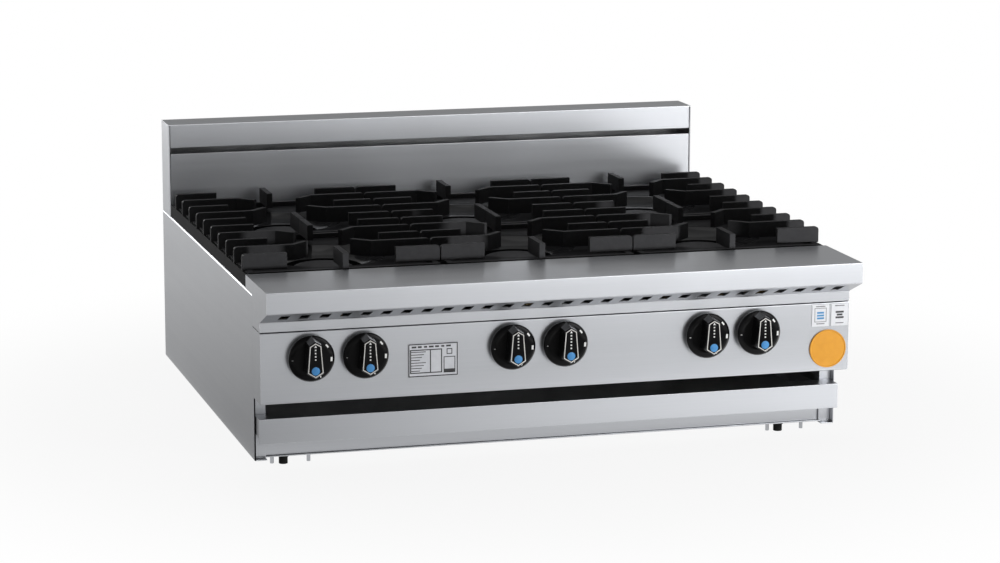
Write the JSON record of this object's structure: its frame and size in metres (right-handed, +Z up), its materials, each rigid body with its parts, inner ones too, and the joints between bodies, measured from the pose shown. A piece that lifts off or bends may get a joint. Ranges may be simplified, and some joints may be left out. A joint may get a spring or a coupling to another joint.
{
  "type": "gas boiling top",
  "caption": "Bench-top commercial gas boiling top: stainless casing with splashback, cast trivets over open burners, turning knobs and a pull-out drip tray.",
  "frame": {"origin": "on the bench, below the centre of the footprint", "axes": "+X to the right as the user faces the knobs, +Y to the splashback, +Z up"},
  "size_m": [0.9, 0.85, 0.415],
  "materials": {
    "brushed_steel": "brushed stainless sheet",
    "black_enamel": "gloss black vitreous enamel",
    "cast_iron": "matt black cast iron",
    "black_plastic": "gloss black knob",
    "spindle_steel": "turned steel",
    "brass": "plain brass",
    "rubber": "black rubber",
    "orange_plastic": "plain orange disc",
    "label_film": "pale blank label",
    "plate_foil": "foil plate with ruled boxes and no text",
    "white_ink": "white printed marks on the knobs",
    "blue_ink": "plain blue dot on each knob",
    "black_ink": "black ruled lines on the plate and the labels"
  },
  "bodies": {
    "casing": {"badge_disc": "orange_plastic", "base_front_panel": "brushed_steel", "base_pan": "brushed_steel", "burner_front_centre": "cast_iron", "burner_front_left": "cast_iron", "burner_front_right": "cast_iron", "burner_rear_centre": "cast_iron", "burner_rear_left": "cast_iron", "burner_rear_right": "cast_iron", "control_panel": "brushed_steel", "foot_front_left": "rubber", "foot_front_right": "rubber", "foot_rear_left": "rubber", "foot_rear_right": "rubber", "front_ledge": "brushed_steel", "gas_manifold": "brass", "hob_frame": "black_enamel", "label_left": "label_film", "label_right": "label_film", "left_post": "brushed_steel", "left_side_panel": "brushed_steel", "left_tray_runner": "brushed_steel", "rating_plate": "plate_foil", "rear_panel": "brushed_steel", "right_post": "brushed_steel", "right_side_panel": "brushed_steel", "right_tray_runner": "brushed_steel", "spill_tray_centre": "black_enamel", "spill_tray_left": "black_enamel", "spill_tray_right": "black_enamel", "splashback_front": "brushed_steel", "splashback_shell": "brushed_steel", "splashback_top": "brushed_steel"},
    "drip_tray": {"drip_tray": "brushed_steel", "drip_tray_front": "brushed_steel"},
    "trivet_front_left": {"trivet_front_left": "cast_iron"},
    "burner_cap_front_left": {"burner_cap_front_left": "cast_iron"},
    "spindle_front_left": {"spindle_front_left": "spindle_steel"},
    "knob_front_left": {"knob_front_left": "black_plastic"},
    "trivet_front_centre": {"trivet_front_centre": "cast_iron"},
    "burner_cap_front_centre": {"burner_cap_front_centre": "cast_iron"},
    "spindle_front_centre": {"spindle_front_centre": "spindle_steel"},
    "knob_front_centre": {"knob_front_centre": "black_plastic"},
    "trivet_front_right": {"trivet_front_right": "cast_iron"},
    "burner_cap_front_right": {"burner_cap_front_right": "cast_iron"},
    "spindle_front_right": {"spindle_front_right": "spindle_steel"},
    "knob_front_right": {"knob_front_right": "black_plastic"},
    "trivet_rear_left": {"trivet_rear_left": "cast_iron"},
    "burner_cap_rear_left": {"burner_cap_rear_left": "cast_iron"},
    "spindle_rear_left": {"spindle_rear_left": "spindle_steel"},
    "knob_rear_left": {"knob_rear_left": "black_plastic"},
    "trivet_rear_centre": {"trivet_rear_centre": "cast_iron"},
    "burner_cap_rear_centre": {"burner_cap_rear_centre": "cast_iron"},
    "spindle_rear_centre": {"spindle_rear_centre": "spindle_steel"},
    "knob_rear_centre": {"knob_rear_centre": "black_plastic"},
    "trivet_rear_right": {"trivet_rear_right": "cast_iron"},
    "burner_cap_rear_right": {"burner_cap_rear_right": "cast_iron"},
    "spindle_rear_right": {"spindle_rear_right": "spindle_steel"},
    "knob_rear_right": {"knob_rear_right": "black_plastic"}
  },
  "joints": [
    {"name": "drip_tray_slide", "type": "slide", "parent": "casing", "child": "drip_tray", "axis": [0, -1, 0], "range_m": [0, 0.55]},
    {"name": "trivet_front_left_lift", "type": "slide", "parent": "casing", "child": "trivet_front_left", "axis": [0, 0, 1], "range_m": [0, 0.15]},
    {"name": "burner_cap_front_left_lift", "type": "slide", "parent": "casing", "child": "burner_cap_front_left", "axis": [0, 0, 1], "range_m": [0, 0.02]},
    {"name": "spindle_front_left_turn", "type": "hinge", "parent": "casing", "child": "spindle_front_left", "pos_m": [-0.297, -0.374, 0.179], "axis": [0, -1, 0], "range_deg": [0, 170]},
    {"name": "knob_front_left_push", "type": "slide", "parent": "spindle_front_left", "child": "knob_front_left", "axis": [0, 1, 0], "range_m": [0, 0.003], "stiffness_N_per_m": 800, "springref_m": -0.003},
    {"name": "trivet_front_centre_lift", "type": "slide", "parent": "casing", "child": "trivet_front_centre", "axis": [0, 0, 1], "range_m": [0, 0.15]},
    {"name": "burner_cap_front_centre_lift", "type": "slide", "parent": "casing", "child": "burner_cap_front_centre", "axis": [0, 0, 1], "range_m": [0, 0.02]},
    {"name": "spindle_front_centre_turn", "type": "hinge", "parent": "casing", "child": "spindle_front_centre", "pos_m": [0.003, -0.374, 0.179], "axis": [0, -1, 0], "range_deg": [0, 170]},
    {"name": "knob_front_centre_push", "type": "slide", "parent": "spindle_front_centre", "child": "knob_front_centre", "axis": [0, 1, 0], "range_m": [0, 0.003], "stiffness_N_per_m": 800, "springref_m": -0.003},
    {"name": "trivet_front_right_lift", "type": "slide", "parent": "casing", "child": "trivet_front_right", "axis": [0, 0, 1], "range_m": [0, 0.15]},
    {"name": "burner_cap_front_right_lift", "type": "slide", "parent": "casing", "child": "burner_cap_front_right", "axis": [0, 0, 1], "range_m": [0, 0.02]},
    {"name": "spindle_front_right_turn", "type": "hinge", "parent": "casing", "child": "spindle_front_right", "pos_m": [0.303, -0.374, 0.179], "axis": [0, -1, 0], "range_deg": [0, 170]},
    {"name": "knob_front_right_push", "type": "slide", "parent": "spindle_front_right", "child": "knob_front_right", "axis": [0, 1, 0], "range_m": [0, 0.003], "stiffness_N_per_m": 800, "springref_m": -0.003},
    {"name": "trivet_rear_left_lift", "type": "slide", "parent": "casing", "child": "trivet_rear_left", "axis": [0, 0, 1], "range_m": [0, 0.15]},
    {"name": "burner_cap_rear_left_lift", "type": "slide", "parent": "casing", "child": "burner_cap_rear_left", "axis": [0, 0, 1], "range_m": [0, 0.02]},
    {"name": "spindle_rear_left_turn", "type": "hinge", "parent": "casing", "child": "spindle_rear_left", "pos_m": [-0.377, -0.374, 0.179], "axis": [0, -1, 0], "range_deg": [0, 170]},
    {"name": "knob_rear_left_push", "type": "slide", "parent": "spindle_rear_left", "child": "knob_rear_left", "axis": [0, 1, 0], "range_m": [0, 0.003], "stiffness_N_per_m": 800, "springref_m": -0.003},
    {"name": "trivet_rear_centre_lift", "type": "slide", "parent": "casing", "child": "trivet_rear_centre", "axis": [0, 0, 1], "range_m": [0, 0.15]},
    {"name": "burner_cap_rear_centre_lift", "type": "slide", "parent": "casing", "child": "burner_cap_rear_centre", "axis": [0, 0, 1], "range_m": [0, 0.02]},
    {"name": "spindle_rear_centre_turn", "type": "hinge", "parent": "casing", "child": "spindle_rear_centre", "pos_m": [-0.077, -0.374, 0.179], "axis": [0, -1, 0], "range_deg": [0, 170]},
    {"name": "knob_rear_centre_push", "type": "slide", "parent": "spindle_rear_centre", "child": "knob_rear_centre", "axis": [0, 1, 0], "range_m": [0, 0.003], "stiffness_N_per_m": 800, "springref_m": -0.003},
    {"name": "trivet_rear_right_lift", "type": "slide", "parent": "casing", "child": "trivet_rear_right", "axis": [0, 0, 1], "range_m": [0, 0.15]},
    {"name": "burner_cap_rear_right_lift", "type": "slide", "parent": "casing", "child": "burner_cap_rear_right", "axis": [0, 0, 1], "range_m": [0, 0.02]},
    {"name": "spindle_rear_right_turn", "type": "hinge", "parent": "casing", "child": "spindle_rear_right", "pos_m": [0.223, -0.374, 0.179], "axis": [0, -1, 0], "range_deg": [0, 170]},
    {"name": "knob_rear_right_push", "type": "slide", "parent": "spindle_rear_right", "child": "knob_rear_right", "axis": [0, 1, 0], "range_m": [0, 0.003], "stiffness_N_per_m": 800, "springref_m": -0.003}
  ]
}
